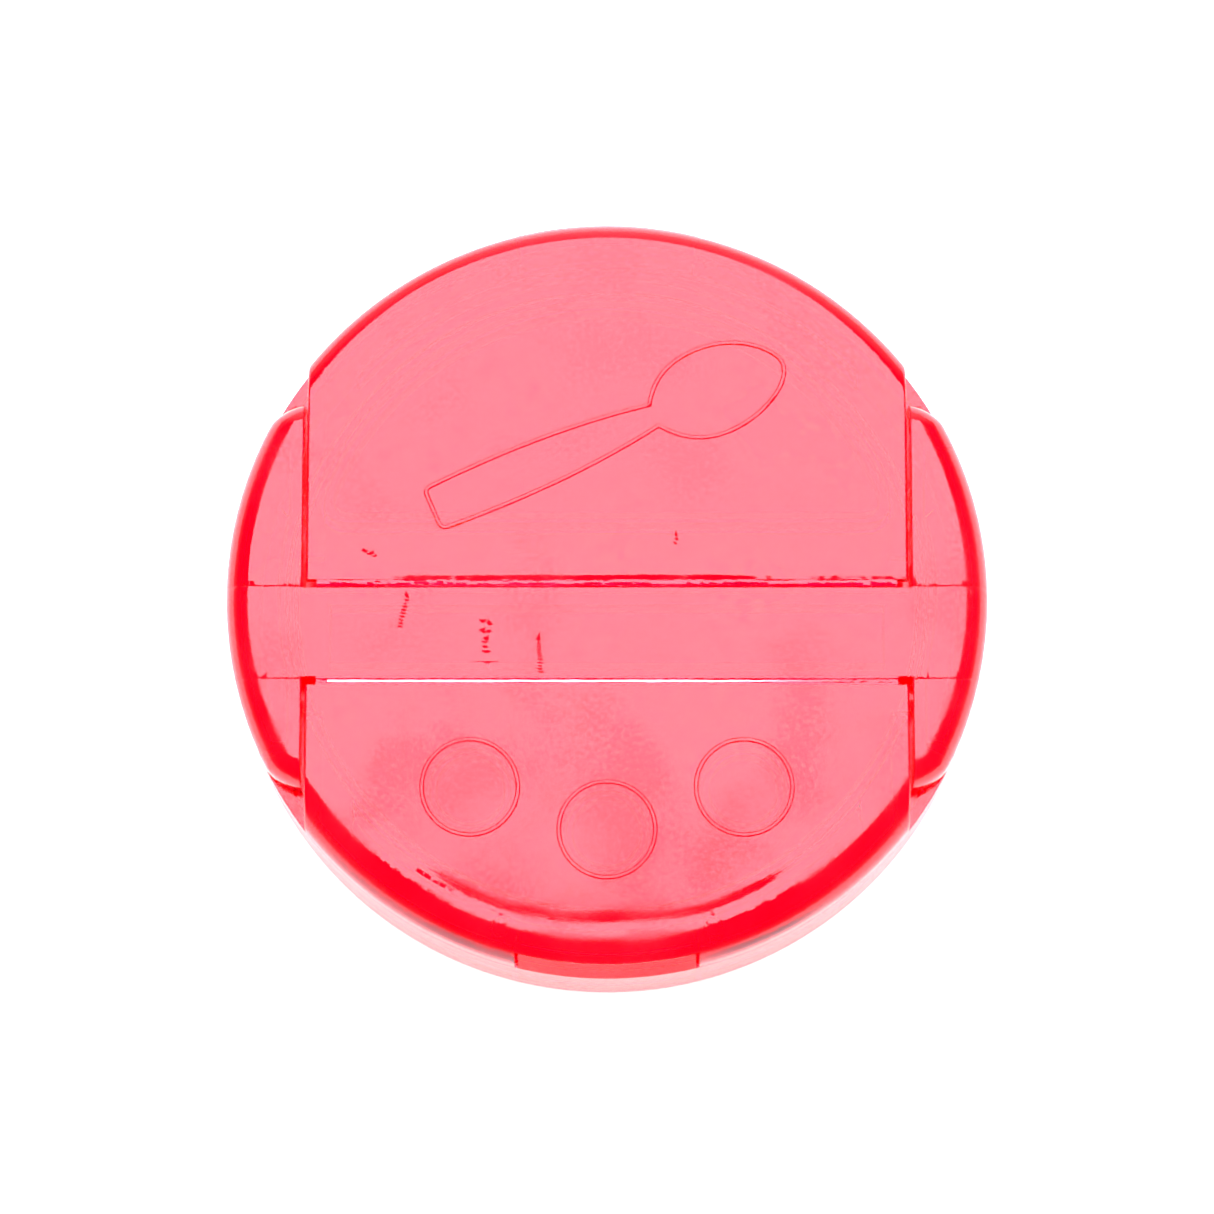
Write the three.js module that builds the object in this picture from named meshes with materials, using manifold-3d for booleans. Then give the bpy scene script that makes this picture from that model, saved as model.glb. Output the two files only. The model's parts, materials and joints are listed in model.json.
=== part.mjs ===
// A dual-flap dispensing cap for a wide-mouth jar, moulded in transparent red polypropylene.
// Millimetres, +Z up. The origin is at the centre of the skirt's bottom rim, on the surface that the
// cap stands on. The front flap, over the three shaker holes, is towards -Y. The rear flap, over the
// spoon opening, is towards +Y.

import * as THREE from 'three';
import { mergeVertices } from 'three/addons/utils/BufferGeometryUtils.js';
import Module from 'manifold-3d';

const wasm = await Module();
wasm.setup();

// ---------------------------------------------------------------- driving dimensions

const SEGMENTS = 72; // facets round a full turn
const OUTER_R = 33.0; // skirt, lobes and bridge ends
const TOP_Z = 15.0; // flat top of the flaps, bridge and lobes
const WALL = 1.4; // skirt wall
const PLATE = 1.3; // deck, flap panels and the roof of the bridge
const SHOULDER_Z = 10.5; // where the flaps close on the base
const EDGE_R = 2.0; // rounded top edge, all round the cap
const PART_LINE = 0.25; // gap between a flap and its neighbours

const BRIDGE_FRONT_Y = -7.45;
const BRIDGE_REAR_Y = 0.4;
const HINGE_WIDTH = 0.7; // from the bridge to the flap panel
const HINGE_THICK = 0.3;

const LOBE_INNER_X = 26.25; // the straight inner side of the lobes
const LOBE_END_Y = 17.0; // how far the lobes reach, front and rear
const LOBE_CORNER_R = 2.2;

const FLAP_R = 32.8;
const FLAP_WALL = 1.5;
const FLAP_GAP_Z = 0.2; // between a closed flap's wall and the shoulder
const NOTCH_HALF = 7.9; // half the width of a finger notch

const HOLE_R = 3.81; // shaker holes
const HOLE_RING_R = 20.7; // their centres' distance from the cap's axis
const HOLE_SPREAD = THREE.MathUtils.degToRad(34.6);
const SPOON_OPENING_R = 26.4;
const SPOON_OPENING_Y = 6.0; // its straight side
const SPOON_CORNER_R = 3.0;

const LAND_R = 28.4; // outer edge of the ring that the jar's lip seals on
const CORE_WALL = 1.3;

const THREAD_TURNS = 1.25;
const THREAD_PITCH = 4.23;
const THREAD_START_Z = 1.7;
const THREAD_DEPTH = 1.1;
const THREAD_ROOT = 1.6; // height of the rib at the wall
const THREAD_CREST = 0.8;

const PLUG_CLEARANCE = 0.27;
const PLUG_DEPTH = 0.5; // how far the plugs reach into the deck
const HOLE_PLUG_WALL = 0.6;
const RIB_THICK = 0.9;
const RIB_END_Z = SHOULDER_Z + 0.7;

const ICON_WIDTH = 0.42;
const ICON_HEIGHT = 0.15;
const HOLE_ICON_R = 4.13;
const SPOON_TURN = THREE.MathUtils.degToRad(23.5);
const SPOON_NECK = [4.1, 15.6]; // where the handle meets the bowl

const UNDER_PLATE_Z = TOP_Z - PLATE;
const DECK_Z = SHOULDER_Z - PLATE;
const SKIRT_IN_R = OUTER_R - WALL;
const EDGE_START_Z = TOP_Z - EDGE_R; // where the rounded edge meets the upright wall
const FLAP_REACH_X = LOBE_INNER_X - PART_LINE;
const FLAP_FOOT_Z = SHOULDER_Z + FLAP_GAP_Z;
// A flap's radius at the underside of its panel, part of the way up the rounded edge.
const PANEL_FOOT_R = FLAP_R - EDGE_R + Math.sqrt(EDGE_R ** 2 - (UNDER_PLATE_Z - EDGE_START_Z) ** 2);
const FAR = 40; // beyond the cap, for cutting shapes

// ---------------------------------------------------------------- material

const clearRed = new THREE.MeshStandardMaterial({
  name: 'clear_red_plastic',
  color: 0xf0142e,
  roughness: 0.12,
  metalness: 0,
});
const flexedRed = new THREE.MeshStandardMaterial({
  name: 'flexed_hinge_plastic',
  color: 0xf27c92,
  roughness: 0.35,
  metalness: 0,
});

// ---------------------------------------------------------------- solids and booleans

function toSolid(geometry) {
  const bare = geometry.index ? geometry.toNonIndexed() : geometry.clone();
  bare.deleteAttribute('normal');
  bare.deleteAttribute('uv');
  const merged = mergeVertices(bare, 1e-4);
  const mesh = new wasm.Mesh({
    numProp: 3,
    vertProperties: new Float32Array(merged.attributes.position.array),
    triVerts: new Uint32Array(merged.index.array),
  });
  return new wasm.Manifold(mesh);
}

function toGeometry(solid) {
  const mesh = solid.getMesh();
  const geometry = new THREE.BufferGeometry();
  geometry.setAttribute('position', new THREE.BufferAttribute(mesh.vertProperties, 3));
  geometry.setIndex(new THREE.BufferAttribute(mesh.triVerts, 1));
  geometry.computeVertexNormals();
  return geometry;
}

// A box from its lowest to its highest corner.
function block(low, high) {
  const size = high.map((value, i) => value - low[i]);
  const geometry = new THREE.BoxGeometry(...size);
  geometry.translate(...low.map((value, i) => value + size[i] / 2));
  return toSolid(geometry);
}

// A solid of revolution about Z from [radius, z] points. The profile runs anticlockwise, seen with
// the radius to the right and Z up, and it closes on itself unless it starts and ends on the axis.
function turned(profile, segments = SEGMENTS) {
  const points = profile.map(([radius, z]) => new THREE.Vector2(radius, z));
  const onAxis = profile[0][0] === 0 && profile[profile.length - 1][0] === 0;
  if (!onAxis) points.push(points[0].clone());
  const geometry = new THREE.LatheGeometry(points, segments);
  geometry.rotateX(Math.PI / 2);
  return toSolid(geometry);
}

function ring(innerR, outerR, lowZ, highZ, segments = SEGMENTS) {
  return turned([[innerR, lowZ], [outerR, lowZ], [outerR, highZ], [innerR, highZ]], segments);
}

function disc(radius, lowZ, highZ, segments = SEGMENTS) {
  return turned([[0, lowZ], [radius, lowZ], [radius, highZ], [0, highZ]], segments);
}

function prism(shape, lowZ, highZ, curveSegments = 12) {
  const geometry = new THREE.ExtrudeGeometry(shape, {
    depth: highZ - lowZ,
    bevelEnabled: false,
    curveSegments,
  });
  geometry.translate(0, 0, lowZ);
  return toSolid(geometry);
}

// ---------------------------------------------------------------- base: skirt, deck, seal, thread

function skirt() {
  const chamfer = 0.3;
  return turned([
    [SKIRT_IN_R + chamfer, 0],
    [OUTER_R - chamfer, 0],
    [OUTER_R, chamfer],
    [OUTER_R, SHOULDER_Z],
    [SKIRT_IN_R, SHOULDER_Z],
    [SKIRT_IN_R, chamfer],
  ]);
}

function holeCentre(index) {
  const angle = -Math.PI / 2 + index * HOLE_SPREAD;
  return [HOLE_RING_R * Math.cos(angle), HOLE_RING_R * Math.sin(angle)];
}

// The D-shaped outline of the spoon opening, drawn inwards by a clearance.
function spoonOutline(inset) {
  const radius = SPOON_OPENING_R - inset;
  const straightY = SPOON_OPENING_Y + inset;
  const corner = SPOON_CORNER_R - inset;
  const cornerY = straightY + corner;
  const cornerX = Math.sqrt((radius - corner) ** 2 - cornerY ** 2);
  const turn = Math.atan2(cornerY, cornerX);
  const shape = new THREE.Shape();
  shape.absarc(0, 0, radius, turn, Math.PI - turn, false);
  shape.absarc(-cornerX, cornerY, corner, Math.PI - turn, (3 * Math.PI) / 2, false);
  shape.absarc(cornerX, cornerY, corner, -Math.PI / 2, turn, false);
  return shape;
}

// The hollow below the bridge and the lobes, which keeps the moulding's walls even.
function coreHollow(lowZ) {
  const reachX = 24;
  const sideReachY = 13;
  const sideInnerX = LOBE_INNER_X + CORE_WALL;
  const channel = block(
    [-reachX, BRIDGE_FRONT_Y + CORE_WALL, lowZ],
    [reachX, BRIDGE_REAR_Y - CORE_WALL, UNDER_PLATE_Z],
  );
  const band = ring(LAND_R, SKIRT_IN_R, lowZ, UNDER_PLATE_Z);
  const right = block([sideInnerX, -sideReachY, lowZ], [FAR, sideReachY, UNDER_PLATE_Z]);
  const left = block([-FAR, -sideReachY, lowZ], [-sideInnerX, sideReachY, UNDER_PLATE_Z]);
  return channel.add(band.intersect(right)).add(band.intersect(left));
}

function deck() {
  const below = DECK_Z - 1;
  const above = SHOULDER_Z + 1;
  let plate = disc(SKIRT_IN_R, DECK_Z, SHOULDER_Z);
  for (const index of [-1, 0, 1]) {
    const [x, y] = holeCentre(index);
    plate = plate.subtract(disc(HOLE_R, below, above, 24).translate([x, y, 0]));
  }
  plate = plate.subtract(prism(spoonOutline(0), below, above, 16));
  return plate.subtract(coreHollow(below));
}

function jarSealRing() {
  const middleR = 27.4;
  const tip = 0.25;
  const height = 0.5;
  return turned([
    [middleR - tip, DECK_Z - height],
    [middleR + tip, DECK_Z - height],
    [middleR + 2 * tip, DECK_Z],
    [middleR - 2 * tip, DECK_Z],
  ]);
}

// The thread rib: a long box bent round the inside of the skirt, climbing by the pitch each turn.
// Its steps lie on the skirt's own facets, and it tapers to nothing at both ends.
function threadRib() {
  const steps = Math.round(SEGMENTS * THREAD_TURNS);
  const taperSteps = 6;
  const geometry = new THREE.BoxGeometry(steps, 1, 1, steps, 1, 1);
  const position = geometry.attributes.position;
  for (let i = 0; i < position.count; i += 1) {
    const step = Math.round(position.getX(i) + steps / 2);
    const angle = (2 * Math.PI * step) / SEGMENTS;
    const atCrest = position.getY(i) > 0;
    const side = Math.sign(position.getZ(i));
    const taper = Math.min(1, (Math.min(step, steps - step) + 1) / taperSteps);
    const radius = SKIRT_IN_R - (atCrest ? THREAD_DEPTH * taper : 0);
    const halfHeight = (atCrest ? THREAD_CREST : THREAD_ROOT) / 2;
    const z = THREAD_START_Z + (THREAD_PITCH * step) / SEGMENTS + side * halfHeight;
    position.setXYZ(i, radius * Math.cos(angle), radius * Math.sin(angle), z);
  }
  return toSolid(geometry);
}

// ---------------------------------------------------------------- base: bridge and lobes

// The raised platform that the bridge and the four lobes are cut from: the cap's disc between two
// straight ends, with rounded corners and a rounded top edge.
function platform() {
  const filletX = Math.sqrt((OUTER_R - LOBE_CORNER_R) ** 2 - (LOBE_END_Y - LOBE_CORNER_R) ** 2);
  const filletY = LOBE_END_Y - LOBE_CORNER_R;
  const turn = Math.atan2(filletY, filletX);
  const quarter = Math.PI / 2;
  const shape = new THREE.Shape();
  shape.absarc(0, 0, OUTER_R, -turn, turn, false);
  shape.absarc(filletX, filletY, LOBE_CORNER_R, turn, quarter, false);
  shape.absarc(-filletX, filletY, LOBE_CORNER_R, quarter, Math.PI - turn, false);
  shape.absarc(0, 0, OUTER_R, Math.PI - turn, Math.PI + turn, false);
  shape.absarc(-filletX, -filletY, LOBE_CORNER_R, Math.PI + turn, Math.PI + quarter, false);
  shape.absarc(filletX, -filletY, LOBE_CORNER_R, -quarter, -turn, false);
  const geometry = new THREE.ExtrudeGeometry(shape, {
    depth: TOP_Z - 2 * EDGE_R,
    bevelThickness: EDGE_R,
    bevelSize: EDGE_R,
    bevelOffset: -EDGE_R,
    bevelSegments: 3,
    curveSegments: 11,
  });
  geometry.translate(0, 0, EDGE_R);
  const raised = block([-FAR, -FAR, SHOULDER_Z], [FAR, FAR, TOP_Z + 1]);
  return toSolid(geometry).intersect(raised).subtract(coreHollow(SHOULDER_Z - 1));
}

function lobe(side, lowY, highY) {
  const lowX = side > 0 ? LOBE_INNER_X : -FAR;
  const highX = side > 0 ? FAR : -LOBE_INNER_X;
  return platform().intersect(block([lowX, lowY, 0], [highX, highY, FAR]));
}

function bridge() {
  return platform().intersect(block([-FAR, BRIDGE_FRONT_Y, 0], [FAR, BRIDGE_REAR_Y, FAR]));
}

// An upright wall along an arc round the cap's axis, centred on the front (-1) or the rear (+1).
function arcWall(end, middleR, thick, halfAngle, lowZ, highZ) {
  const facets = Math.ceil((SEGMENTS * halfAngle) / Math.PI);
  const centre = end * (Math.PI / 2);
  const outer = middleR + thick / 2;
  const inner = middleR - thick / 2;
  const shape = new THREE.Shape();
  shape.absarc(0, 0, outer, centre - halfAngle, centre + halfAngle, false);
  shape.absarc(0, 0, inner, centre + halfAngle, centre - halfAngle, true);
  return prism(shape, lowZ, highZ, facets);
}

function latchWall(end) {
  const middleR = 30.3;
  const thick = 0.8;
  const height = 1.9;
  const halfAngle = Math.asin((NOTCH_HALF - 0.6) / middleR);
  return arcWall(end, middleR, thick, halfAngle, SHOULDER_Z, SHOULDER_Z + height);
}

// ---------------------------------------------------------------- flaps

// Where a flap starts, beside its hinge.
function flapStartY(end) {
  return end > 0 ? BRIDGE_REAR_Y + HINGE_WIDTH : BRIDGE_FRONT_Y - HINGE_WIDTH;
}

function flapPanel(end) {
  const steps = 3;
  const footAngle = Math.asin((UNDER_PLATE_Z - EDGE_START_Z) / EDGE_R);
  const profile = [[0, UNDER_PLATE_Z]];
  for (let i = 0; i <= steps; i += 1) {
    const angle = footAngle + (Math.PI / 2 - footAngle) * (i / steps);
    const radius = FLAP_R - EDGE_R + EDGE_R * Math.cos(angle);
    profile.push([radius, EDGE_START_Z + EDGE_R * Math.sin(angle)]);
  }
  profile.push([0, TOP_Z]);
  const startY = flapStartY(end);
  const lowY = end > 0 ? startY : -FAR;
  const highY = end > 0 ? FAR : startY;
  return turned(profile).intersect(block([-FLAP_REACH_X, lowY, 0], [FLAP_REACH_X, highY, FAR]));
}

// Half of a flap's wall: the arc from the finger notch to the corner, and the straight side.
function flapRim(end, side) {
  const hingeClearance = 2.2; // the straight side stops this far short of the panel's hinge edge
  const startY = flapStartY(end) + end * hingeClearance;
  const lowY = end > 0 ? startY : -FAR;
  const highY = end > 0 ? FAR : startY;
  const lowX = side > 0 ? NOTCH_HALF : -FLAP_REACH_X;
  const highX = side > 0 ? FLAP_REACH_X : -NOTCH_HALF;
  const hollowX = FLAP_REACH_X - FLAP_WALL;
  const outline = turned([
    [0, FLAP_FOOT_Z],
    [FLAP_R, FLAP_FOOT_Z],
    [FLAP_R, EDGE_START_Z],
    [PANEL_FOOT_R, UNDER_PLATE_Z],
    [0, UNDER_PLATE_Z],
  ]);
  const hollow = disc(FLAP_R - FLAP_WALL, 0, FAR)
    .intersect(block([-hollowX, -FAR, 0], [hollowX, FAR, FAR]));
  return outline.intersect(block([lowX, lowY, 0], [highX, highY, FAR])).subtract(hollow);
}

// The low bead under the panel's edge that a fingernail catches.
function fingerLip(end) {
  const middleR = 31.6;
  const depth = 0.5;
  const halfAngle = Math.asin((NOTCH_HALF - 0.6) / middleR);
  return arcWall(end, middleR, 1.0, halfAngle, UNDER_PLATE_Z - depth, UNDER_PLATE_Z);
}

function sealRib(end) {
  const middleR = 28.9;
  const halfAngle = THREE.MathUtils.degToRad(48);
  return arcWall(end, middleR, RIB_THICK, halfAngle, RIB_END_Z, UNDER_PLATE_Z);
}

function holePlug(index) {
  const outer = HOLE_R - PLUG_CLEARANCE;
  const [x, y] = holeCentre(index);
  const lowZ = SHOULDER_Z - PLUG_DEPTH;
  return ring(outer - HOLE_PLUG_WALL, outer, lowZ, UNDER_PLATE_Z, 24).translate([x, y, 0]);
}

function spoonOpeningPlug() {
  const shape = spoonOutline(PLUG_CLEARANCE);
  shape.holes.push(new THREE.Path(spoonOutline(PLUG_CLEARANCE + RIB_THICK).getPoints(16)));
  return prism(shape, SHOULDER_Z - PLUG_DEPTH, UNDER_PLATE_Z, 16);
}

function snapLug(end, side) {
  const radius = 0.7;
  const centreX = 9.1;
  const centreY = 28.9;
  const lug = disc(radius, RIB_END_Z, UNDER_PLATE_Z, 12);
  return lug.translate([side * centreX, end * centreY, 0]);
}

// ---------------------------------------------------------------- embossed icons

function holeIcon(index) {
  const [x, y] = holeCentre(index);
  const half = ICON_WIDTH / 2;
  return turned([
    [HOLE_ICON_R - half, TOP_Z],
    [HOLE_ICON_R + half, TOP_Z],
    [HOLE_ICON_R + half / 2, TOP_Z + ICON_HEIGHT],
    [HOLE_ICON_R - half / 2, TOP_Z + ICON_HEIGHT],
  ], 32).translate([x, y, 0]);
}

// A spoon seen from above, its neck at the origin and its bowl towards +X, grown by a margin. The bowl
// is egg-shaped, with its narrower tip a little to one side.
function spoonShape(margin) {
  const endX = -20.9 - margin;
  const endHalf = 1.95 + margin;
  const endCorner = 0.7;
  const handleBow = 0.6; // how far the handle's sides bow outwards
  const handleBowX = -9;
  const neckHalf = 1.0 + margin;
  const bowlX = 5.5; // where the bowl is widest
  const bowlHalf = 3.9 + margin;
  const tipX = 12.1 + margin;
  const tipY = -0.3;
  const shape = new THREE.Shape();
  shape.moveTo(endX, 0);
  shape.lineTo(endX, -endHalf + endCorner);
  shape.quadraticCurveTo(endX, -endHalf, endX + endCorner, -endHalf);
  shape.quadraticCurveTo(handleBowX, -endHalf - handleBow, 0, -neckHalf);
  shape.bezierCurveTo(1.6, -bowlHalf + 0.6, bowlX - 1.9, -bowlHalf, bowlX, -bowlHalf);
  shape.bezierCurveTo(bowlX + 3.1, -bowlHalf, tipX - 0.2, tipY - 1.9, tipX, tipY);
  shape.bezierCurveTo(tipX + 0.1, tipY + 1.3, bowlX + 4.1, bowlHalf, bowlX, bowlHalf);
  shape.bezierCurveTo(bowlX - 2.3, bowlHalf, 1.2, bowlHalf - 0.8, 0, neckHalf);
  shape.quadraticCurveTo(handleBowX, endHalf + handleBow, endX + endCorner, endHalf);
  shape.quadraticCurveTo(endX, endHalf, endX, endHalf - endCorner);
  shape.closePath();
  return shape;
}

function spoonIcon() {
  const shape = spoonShape(ICON_WIDTH / 2);
  shape.holes.push(new THREE.Path(spoonShape(-ICON_WIDTH / 2).getPoints(7)));
  const geometry = new THREE.ExtrudeGeometry(shape, {
    depth: ICON_HEIGHT,
    bevelEnabled: false,
    curveSegments: 7,
  });
  geometry.rotateZ(SPOON_TURN);
  geometry.translate(...SPOON_NECK, TOP_Z);
  return toSolid(geometry);
}

// ---------------------------------------------------------------- living hinges

function hingeWeb(end) {
  const near = end > 0 ? BRIDGE_REAR_Y : flapStartY(end);
  const far = end > 0 ? flapStartY(end) : BRIDGE_FRONT_Y;
  const reachX = FLAP_REACH_X - 0.95; // the web stops short of the flap's corners
  return block([-reachX, near, TOP_Z - HINGE_THICK], [reachX, far, TOP_Z]);
}

// ---------------------------------------------------------------- assembly

const cap = new THREE.Group();

function add(group, name, solid, material = clearRed) {
  const mesh = new THREE.Mesh(toGeometry(solid), material);
  mesh.name = name;
  group.add(mesh);
}

const base = new THREE.Group();
cap.add(base);
add(base, 'skirt', skirt());
add(base, 'thread_rib', threadRib());
add(base, 'deck', deck());
add(base, 'jar_seal_ring', jarSealRing());
add(base, 'bridge', bridge());
for (const [sideName, side] of [['left', -1], ['right', 1]]) {
  add(base, `rear_${sideName}_lobe`, lobe(side, BRIDGE_REAR_Y, FAR));
  add(base, `front_${sideName}_lobe`, lobe(side, -FAR, BRIDGE_FRONT_Y));
}

for (const [endName, end] of [['front', -1], ['rear', 1]]) {
  add(base, `${endName}_latch_wall`, latchWall(end));
  add(base, `${endName}_hinge_web`, hingeWeb(end), flexedRed);
  const flap = new THREE.Group();
  cap.add(flap);
  add(flap, `${endName}_flap_panel`, flapPanel(end));
  add(flap, `${endName}_finger_lip`, fingerLip(end));
  add(flap, `${endName}_seal_rib`, sealRib(end));
  for (const [sideName, side] of [['left', -1], ['right', 1]]) {
    add(flap, `${endName}_flap_rim_${sideName}`, flapRim(end, side));
    add(flap, `${endName}_snap_lug_${sideName}`, snapLug(end, side));
  }
  if (end > 0) {
    add(flap, 'spoon_opening_plug', spoonOpeningPlug());
    add(flap, 'spoon_icon', spoonIcon());
  } else {
    for (const [holeName, index] of [['left', -1], ['middle', 0], ['right', 1]]) {
      add(flap, `hole_plug_${holeName}`, holePlug(index));
      add(flap, `hole_icon_${holeName}`, holeIcon(index));
    }
  }
}

export default cap;
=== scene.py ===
"""Looks for a dual-flap dispensing cap moulded in transparent red polypropylene.

The base and each flap are one continuous skin of plastic, as in the real moulding. Each skin is
cast between two height fields over one plan: a triangulated plan gets a top height and a bottom
height at every point, and its edges are closed with upright faces. Lengths in this script are
millimetres until a mesh is made, and metres in the scene.
"""
import json
import math

import bpy
import numpy as np
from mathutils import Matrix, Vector
from mathutils.geometry import delaunay_2d_cdt


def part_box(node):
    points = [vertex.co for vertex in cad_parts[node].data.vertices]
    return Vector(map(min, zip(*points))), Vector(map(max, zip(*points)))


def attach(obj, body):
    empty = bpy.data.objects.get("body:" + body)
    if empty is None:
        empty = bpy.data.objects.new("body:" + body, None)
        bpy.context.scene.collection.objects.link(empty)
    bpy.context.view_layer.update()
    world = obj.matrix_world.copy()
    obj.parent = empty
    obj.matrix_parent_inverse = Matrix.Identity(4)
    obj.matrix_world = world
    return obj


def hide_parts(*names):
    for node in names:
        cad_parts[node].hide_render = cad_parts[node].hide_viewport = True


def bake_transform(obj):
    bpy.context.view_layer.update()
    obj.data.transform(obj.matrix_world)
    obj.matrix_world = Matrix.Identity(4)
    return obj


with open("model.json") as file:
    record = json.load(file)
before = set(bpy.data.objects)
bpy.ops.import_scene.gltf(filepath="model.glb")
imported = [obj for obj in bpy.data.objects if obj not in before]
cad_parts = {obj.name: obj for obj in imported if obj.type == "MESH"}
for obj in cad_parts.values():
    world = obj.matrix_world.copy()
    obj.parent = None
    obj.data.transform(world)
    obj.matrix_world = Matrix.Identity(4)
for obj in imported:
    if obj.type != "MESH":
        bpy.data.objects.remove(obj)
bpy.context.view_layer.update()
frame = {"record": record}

MM = 0.001
SEED = 7


# ---------------------------------------------------------------- sizes, from the frame
# An end of 1 is the rear flap's side of the cap, and -1 is the front flap's side.

def mm_box(node):
    low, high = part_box(node)
    return np.array(low) / MM, np.array(high) / MM


def mm_centre(node):
    """The middle of a node's box in the plan."""
    low, high = mm_box(node)
    return tuple((low + high)[:2] / 2)


skirt_high = mm_box("skirt")[1]
bridge_low, bridge_high = mm_box("bridge")
lobe_low, lobe_high = mm_box("rear_right_lobe")
panel_low, panel_high = mm_box("rear_flap_panel")
rim_low = mm_box("rear_flap_rim_right")[0]
plug_low, plug_high = mm_box("hole_plug_middle")
opening_low, opening_high = mm_box("spoon_opening_plug")
rib_low, rib_high = mm_box("rear_seal_rib")
latch_high = mm_box("rear_latch_wall")[1]
thread_low, thread_high = mm_box("thread_rib")

OUTER_R = skirt_high[0]
SHOULDER = skirt_high[2]  # the shelf that the flaps close on
TOP = bridge_high[2]
BRIDGE_FRONT = bridge_low[1]
BRIDGE_REAR = bridge_high[1]
LOBE_X = lobe_low[0]
LOBE_END = lobe_high[1]
ROOF = panel_low[2]  # underside of the top plates
DECK = mm_box("deck")[0][2]
FLAP_X = panel_high[0]
FLAP_FOOT = rim_low[2]
NOTCH = rim_low[0]  # half the width of a finger notch
FLAP_R = OUTER_R
FLAP_START = {1: panel_low[1], -1: -mm_box("front_flap_panel")[1][1]}
LOBE_CORNER = 2.2
PLUG_CLEARANCE = 0.27  # the gap around a plug in its hole
HOLE_R = (plug_high[0] - plug_low[0]) / 2 + PLUG_CLEARANCE
HOLES = [mm_centre("hole_icon_" + side) for side in ("left", "middle", "right")]
OPENING_Y = opening_low[1] - PLUG_CLEARANCE
OPENING_R = opening_high[1] + PLUG_CLEARANCE
OPENING_CORNER = 3.0
OPENING_MIDDLE = (0, 14)  # a point well inside the spoon opening
SKIRT_WALL = 1.4
SKIRT_IN = OUTER_R - SKIRT_WALL

DRAFT = 0.05  # how far an upright wall leans over its height
TOUCH = 0.001  # two lengths closer than this are equal
EDGE = 2.4  # radius of the rounded top edge of the bridge and lobes
FLAP_EDGE = {1: 2.0, -1: 2.7}  # and of each flap
CRISP = 0.22  # radius of the edges beside the parting gaps
RAMP = {1: 0.36, -1: 0.03}  # width of the ragged slope from a flap's plate down to its hinge
RAMP_DROP = {1: 0.06, -1: 0.01}  # and how far it drops
PARTING_HALF = 0.07  # the hairlines that the mould left across the lobes, in line with the hinges
PARTING_DEPTH = 0.05
LIP_R = {1: 32.9, -1: 32.2}  # where the top plate ends in each finger notch


# ---------------------------------------------------------------- plan lines

def arc(radius, start=0.0, end=360.0, step=1.5, centre=(0.0, 0.0)):
    """Points along a circle, with the angles in degrees."""
    count = max(2, round((end - start) / step) + 1)
    turn = np.radians(np.linspace(start, end, count))
    return np.column_stack([centre[0] + radius * np.cos(turn), centre[1] + radius * np.sin(turn)])


def line(x0, y0, x1, y1, step=1.5):
    """Points along a straight line."""
    count = max(2, int(math.hypot(x1 - x0, y1 - y0) / step) + 1)
    return np.column_stack([np.linspace(x0, x1, count), np.linspace(y0, y1, count)])


def fillet(distance, radius):
    """How far a rounded edge has dropped at a distance inside the edge."""
    reach = np.clip(radius - distance, 0, radius)
    return radius - np.sqrt(radius ** 2 - reach ** 2)


def fillet_stops(radius, count):
    """The distances at which a rounded edge gets a line of points."""
    turn = np.linspace(math.acos(1 - DRAFT / radius), math.pi / 2, count)
    return list(radius * (1 - np.cos(turn)))


def step_up(distance, draft=DRAFT):
    """0 outside a wall, 1 inside it, rising over the wall's draft."""
    return np.clip(distance / draft, 0, 1)


def soft_noise(x, y, scale, seed):
    """A smooth wavy field between about -1 and 1, the same on every run."""
    rng = np.random.default_rng(seed)
    total = np.zeros_like(x)
    for _ in range(6):
        turn = rng.uniform(0, 2 * math.pi)
        rate = rng.uniform(0.6, 1.6) / scale
        phase = rng.uniform(0, 2 * math.pi)
        total += np.sin(rate * (x * math.cos(turn) + y * math.sin(turn)) + phase)
    return total / 3


def ragged(x, seed):
    """A jagged run of values between about -1 and 1 along a line."""
    fine = soft_noise(x, np.zeros_like(x), 0.18, seed)
    return 0.5 * fine + 0.5 * soft_noise(x, np.zeros_like(x), 0.9, seed + 1)


def fade_in(value, start, end):
    """0 at the start, 1 at the end, and smooth between them."""
    share = np.clip((value - start) / (end - start), 0, 1)
    return share * share * (3 - 2 * share)


# ---------------------------------------------------------------- meshes

PLAN_SPACING = 0.9  # between the points that fill a plan
PLAN_SHIFT = 0.37  # how far they are moved off a straight grid, as a share of the spacing
PLAN_WAVE = 7
PLAN_MERGE = 1e-4  # points of a plan closer than this become one
SHARP_ANGLE = 35  # degrees between two faces from which their edge is not smoothed


def triangulate(lines, reach):
    """A plan with points all over it and edges along the given lines."""
    points = []
    edges = []
    for polyline in lines:
        start = len(points)
        points.extend(Vector(p) for p in polyline)
        edges.extend((i, i + 1) for i in range(start, len(points) - 1))
    ticks = np.arange(-reach, reach, PLAN_SPACING)
    points.extend(Vector((x + PLAN_SHIFT * PLAN_SPACING * math.sin(PLAN_WAVE * y), y))
                  for x in ticks for y in ticks)
    plan, _, faces = delaunay_2d_cdt(points, edges, [], 0, PLAN_MERGE)[:3]
    return np.array(plan), np.array(faces)


def make_piece(name, points, faces):
    """A smooth-shaded object from points in millimetres."""
    mesh = bpy.data.meshes.new(name)
    mesh.from_pydata((np.asarray(points) * MM).tolist(), [], faces)
    mesh.validate()
    mesh.shade_smooth()
    mesh.set_sharp_from_angle(angle=math.radians(SHARP_ANGLE))
    piece = bpy.data.objects.new(name, mesh)
    bpy.context.scene.collection.objects.link(piece)
    return piece


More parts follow.
